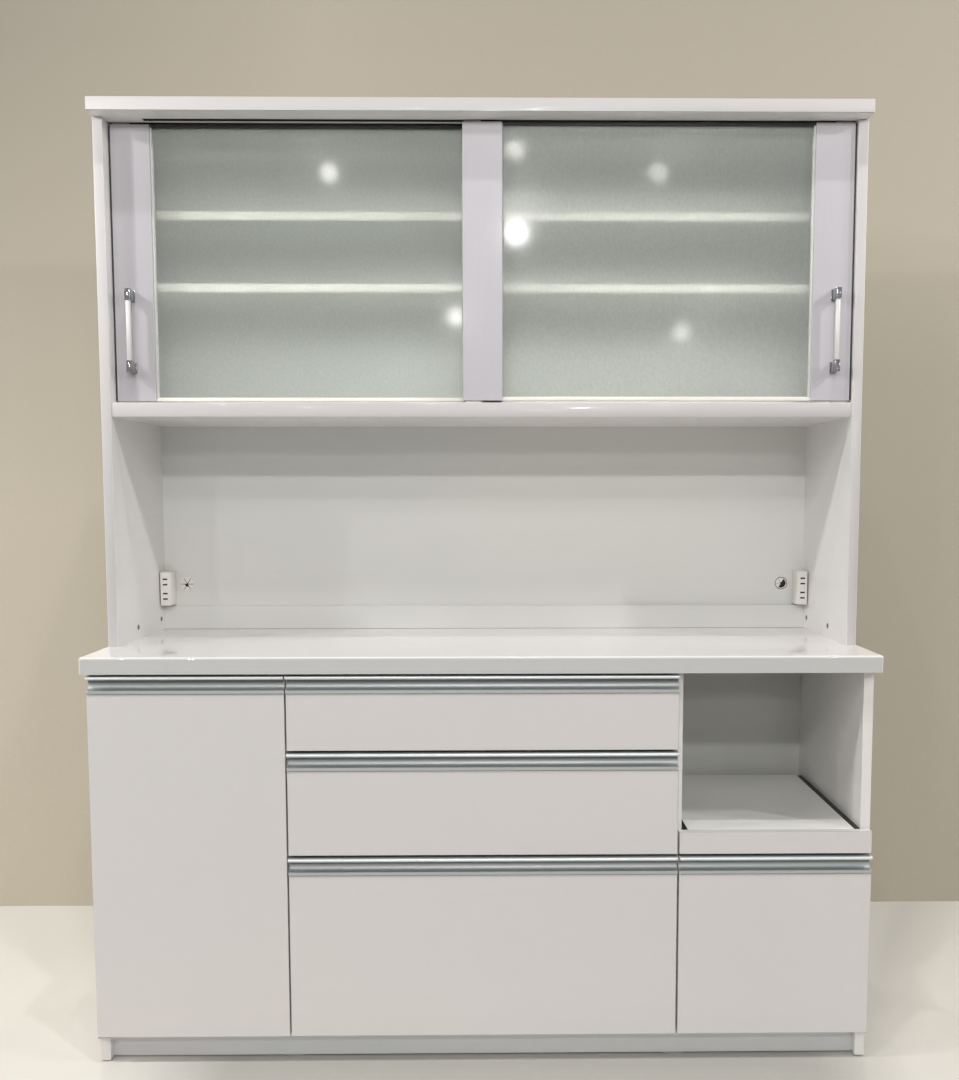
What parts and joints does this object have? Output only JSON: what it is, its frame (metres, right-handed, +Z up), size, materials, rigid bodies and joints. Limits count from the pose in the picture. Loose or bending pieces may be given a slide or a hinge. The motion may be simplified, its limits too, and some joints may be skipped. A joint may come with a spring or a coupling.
{
  "type": "kitchen cabinet",
  "caption": "Two-piece kitchen cabinet: glazed hutch with sliding doors over an open counter, base with hinged door, drawers and a pull-out appliance tray.",
  "frame": {"origin": "on the floor, under the middle of the cabinet's overall box", "axes": "+X to the right as seen from the front, -Y out of the front, +Z up"},
  "size_m": [1.6, 0.5, 1.956],
  "materials": {
    "white_board": "gloss white film",
    "counter": "high-gloss white",
    "front": "high-gloss white lacquer",
    "stile": "satin silver grey",
    "inner_board": "matt white film",
    "drawer_board": "matt pale film",
    "door_frame": "satin cream",
    "glass": "mist",
    "handle": "satin anodised",
    "pull": "polished",
    "slide_steel": "zinc plated",
    "tray_slide": "satin black",
    "white_plastic": "satin",
    "grey_plastic": "matt"
  },
  "bodies": {
    "cabinet": {"base_side_left": "white_board", "base_side_right": "white_board", "base_partitions": "white_board", "base_bottom_board": "inner_board", "base_back_panel": "inner_board", "base_top_rails": "inner_board", "kickboard": "white_board", "floor_pads": "grey_plastic", "counter_top": "counter", "base_shelves": "inner_board", "shelf_pins": "slide_steel", "door_pivots": "slide_steel", "slide_outer_members": "slide_steel", "hutch_side_left": "white_board", "hutch_side_right": "white_board", "hutch_top_board": "white_board", "hutch_sill_board": "white_board", "hutch_partition": "inner_board", "hutch_back_panel": "white_board", "hutch_rear_rail": "white_board", "hutch_shelves": "inner_board", "power_outlets": "white_plastic", "cable_grommets": "white_plastic", "fixing_caps": "grey_plastic"},
    "left_glass_door": {"left_glass_door_stiles": "stile", "left_glass_door_frame": "door_frame", "left_glass_door_pane": "glass", "left_glass_door_pull": "pull", "left_glass_door_glides": "white_plastic"},
    "right_glass_door": {"right_glass_door_stiles": "stile", "right_glass_door_frame": "door_frame", "right_glass_door_pane": "glass", "right_glass_door_pull": "pull", "right_glass_door_glides": "white_plastic"},
    "lower_door": {"lower_door_panel": "front", "lower_door_handle": "handle"},
    "upper_drawer": {"upper_drawer_front": "front", "upper_drawer_handle": "handle", "upper_drawer_box": "drawer_board", "upper_drawer_slide_inner": "slide_steel"},
    "upper_drawer_slides": {"upper_drawer_slide_middle": "slide_steel"},
    "middle_drawer": {"middle_drawer_front": "front", "middle_drawer_handle": "handle", "middle_drawer_box": "drawer_board", "middle_drawer_slide_inner": "slide_steel"},
    "middle_drawer_slides": {"middle_drawer_slide_middle": "slide_steel"},
    "lower_drawer": {"lower_drawer_front": "front", "lower_drawer_handle": "handle", "lower_drawer_box": "drawer_board", "lower_drawer_slide_inner": "slide_steel"},
    "lower_drawer_slides": {"lower_drawer_slide_middle": "slide_steel"},
    "deep_drawer": {"deep_drawer_front": "front", "deep_drawer_handle": "handle", "deep_drawer_box": "drawer_board", "deep_drawer_slide_inner": "slide_steel"},
    "deep_drawer_slides": {"deep_drawer_slide_middle": "slide_steel"},
    "tray": {"tray_board": "counter", "tray_fascia": "front", "tray_slide_inner": "tray_slide"},
    "tray_slides": {"tray_slide_middle": "tray_slide"}
  },
  "joints": [
    {"name": "left_glass_door_slide", "type": "slide", "parent": "cabinet", "child": "left_glass_door", "axis": [1, 0, 0], "range_m": [0, 0.65]},
    {"name": "right_glass_door_slide", "type": "slide", "parent": "cabinet", "child": "right_glass_door", "axis": [1, 0, 0], "range_m": [-0.65, 0]},
    {"name": "lower_door_hinge", "type": "hinge", "parent": "cabinet", "child": "lower_door", "pos_m": [-0.784, -0.236, 0.4335], "axis": [0, 0, -1], "range_deg": [0, 110]},
    {"name": "upper_drawer_slide", "type": "slide", "parent": "cabinet", "child": "upper_drawer", "axis": [0, -1, 0], "range_m": [0, 0.4]},
    {"name": "upper_drawer_slides_run", "type": "slide", "parent": "cabinet", "child": "upper_drawer_slides", "axis": [0, -1, 0], "range_m": [0, 0.2]},
    {"name": "middle_drawer_slide", "type": "slide", "parent": "cabinet", "child": "middle_drawer", "axis": [0, -1, 0], "range_m": [0, 0.4]},
    {"name": "middle_drawer_slides_run", "type": "slide", "parent": "cabinet", "child": "middle_drawer_slides", "axis": [0, -1, 0], "range_m": [0, 0.2]},
    {"name": "lower_drawer_slide", "type": "slide", "parent": "cabinet", "child": "lower_drawer", "axis": [0, -1, 0], "range_m": [0, 0.4]},
    {"name": "lower_drawer_slides_run", "type": "slide", "parent": "cabinet", "child": "lower_drawer_slides", "axis": [0, -1, 0], "range_m": [0, 0.2]},
    {"name": "deep_drawer_slide", "type": "slide", "parent": "cabinet", "child": "deep_drawer", "axis": [0, -1, 0], "range_m": [0, 0.4]},
    {"name": "deep_drawer_slides_run", "type": "slide", "parent": "cabinet", "child": "deep_drawer_slides", "axis": [0, -1, 0], "range_m": [0, 0.2]},
    {"name": "tray_slide", "type": "slide", "parent": "cabinet", "child": "tray", "axis": [0, -1, 0], "range_m": [0, 0.34]},
    {"name": "tray_slides_run", "type": "slide", "parent": "cabinet", "child": "tray_slides", "axis": [0, -1, 0], "range_m": [0, 0.17]}
  ],
  "couplings": [
    {"joint": "upper_drawer_slides_run", "follows": "upper_drawer_slide", "ratio": 0.5},
    {"joint": "middle_drawer_slides_run", "follows": "middle_drawer_slide", "ratio": 0.5},
    {"joint": "lower_drawer_slides_run", "follows": "lower_drawer_slide", "ratio": 0.5},
    {"joint": "deep_drawer_slides_run", "follows": "deep_drawer_slide", "ratio": 0.5},
    {"joint": "tray_slides_run", "follows": "tray_slide", "ratio": 0.5}
  ]
}
